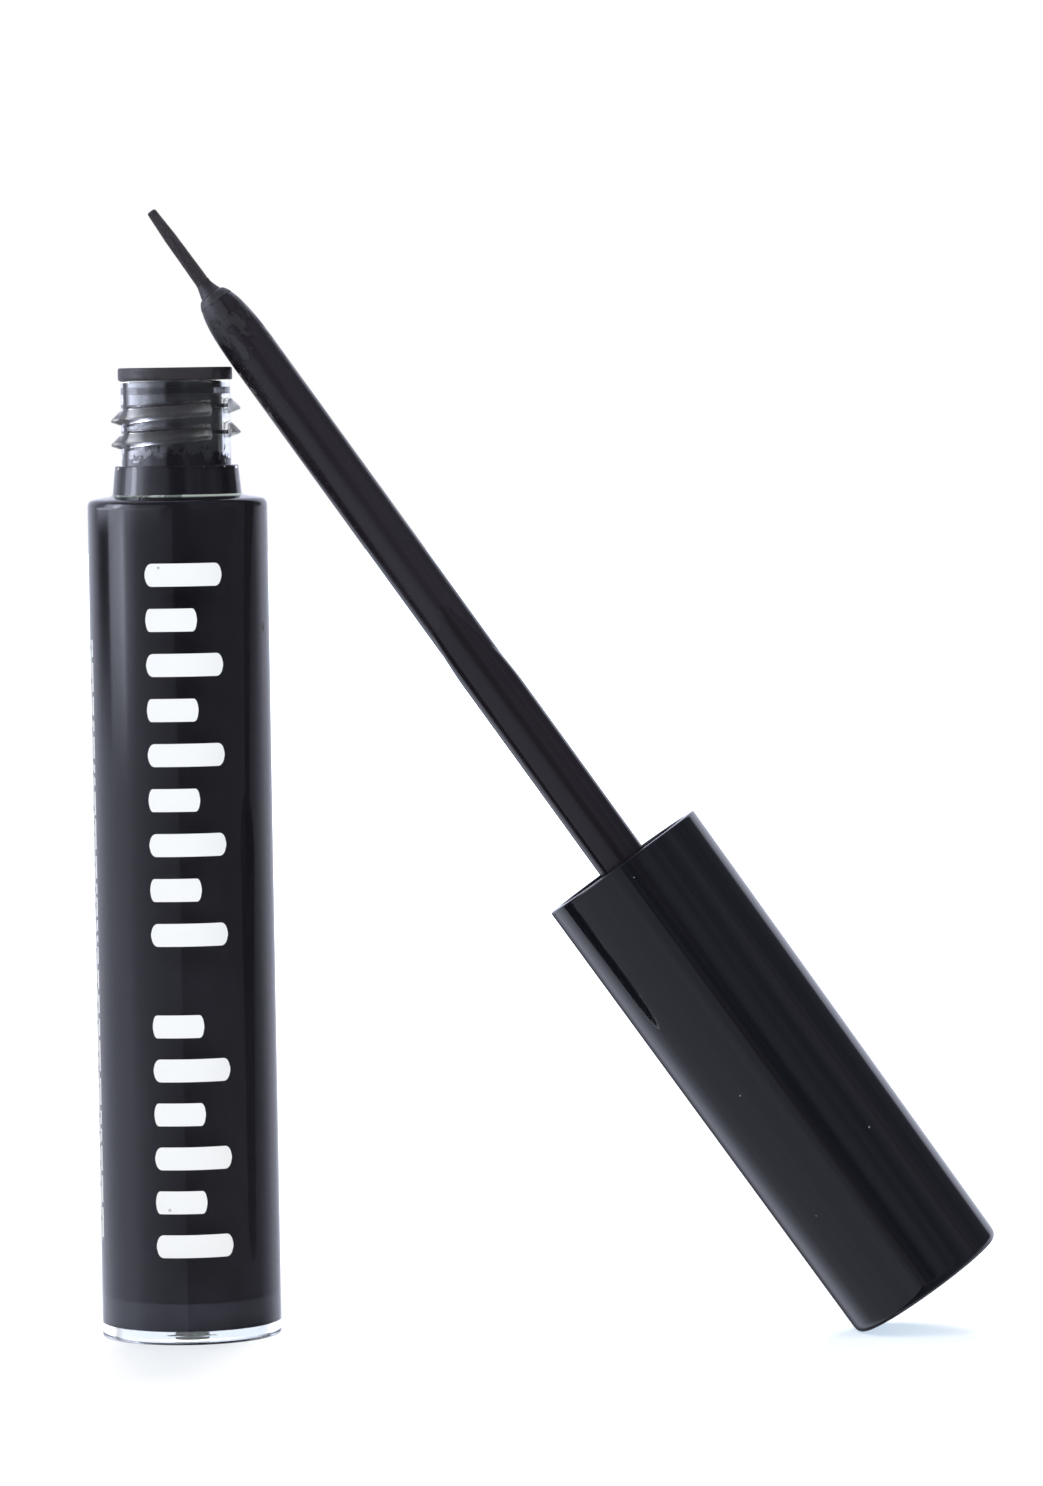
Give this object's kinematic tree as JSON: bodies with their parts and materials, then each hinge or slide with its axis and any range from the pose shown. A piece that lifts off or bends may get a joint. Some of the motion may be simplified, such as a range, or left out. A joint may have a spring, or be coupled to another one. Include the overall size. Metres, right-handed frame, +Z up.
{
  "type": "liquid eyeliner bottle",
  "caption": "Slim clear bottle of black liquid eyeliner, open, with its long cap and nib applicator leaning on the neck.",
  "frame": {"origin": "on the bottle's axis, at the level of the table that the foot stands on", "axes": "+Z up along the bottle, +X towards the leaning applicator as the picture shows it, +Y away from the viewer"},
  "size_m": [0.0746, 0.0193, 0.0942],
  "materials": {
    "clear_plastic": "clear, polished, thick walled",
    "black_ink": "wet black ink",
    "soft_dark_plastic": "satin, soft moulded",
    "gloss_black_plastic": "glossy black",
    "plain_black_plastic": "plain moulded black",
    "stem_plastic": "satin black, wetted with ink",
    "black_fibre": "matte felted fibre, soaked with ink"
  },
  "bodies": {
    "bottle": {"bottle": "clear_plastic", "base_plug": "clear_plastic", "ink": "black_ink", "wiper": "soft_dark_plastic"},
    "applicator": {"cap_shell": "gloss_black_plastic", "inner_cap": "plain_black_plastic", "stem": "stem_plastic"},
    "nib": {"nib": "black_fibre"}
  },
  "joints": [
    {"name": "applicator_tip", "type": "hinge", "parent": "bottle", "child": "applicator", "pos_m": [0.05611, -0.00432, 0.0009], "axis": [0.0767, 0.9971, 0], "range_deg": [0, 35.15]},
    {"name": "nib_bend", "type": "hinge", "parent": "applicator", "child": "nib", "pos_m": [0.00372, -0.00029, 0.08626], "axis": [0.0767, 0.9971, 0], "range_deg": [-10, 10], "stiffness_Nm_per_rad": 0.002}
  ]
}
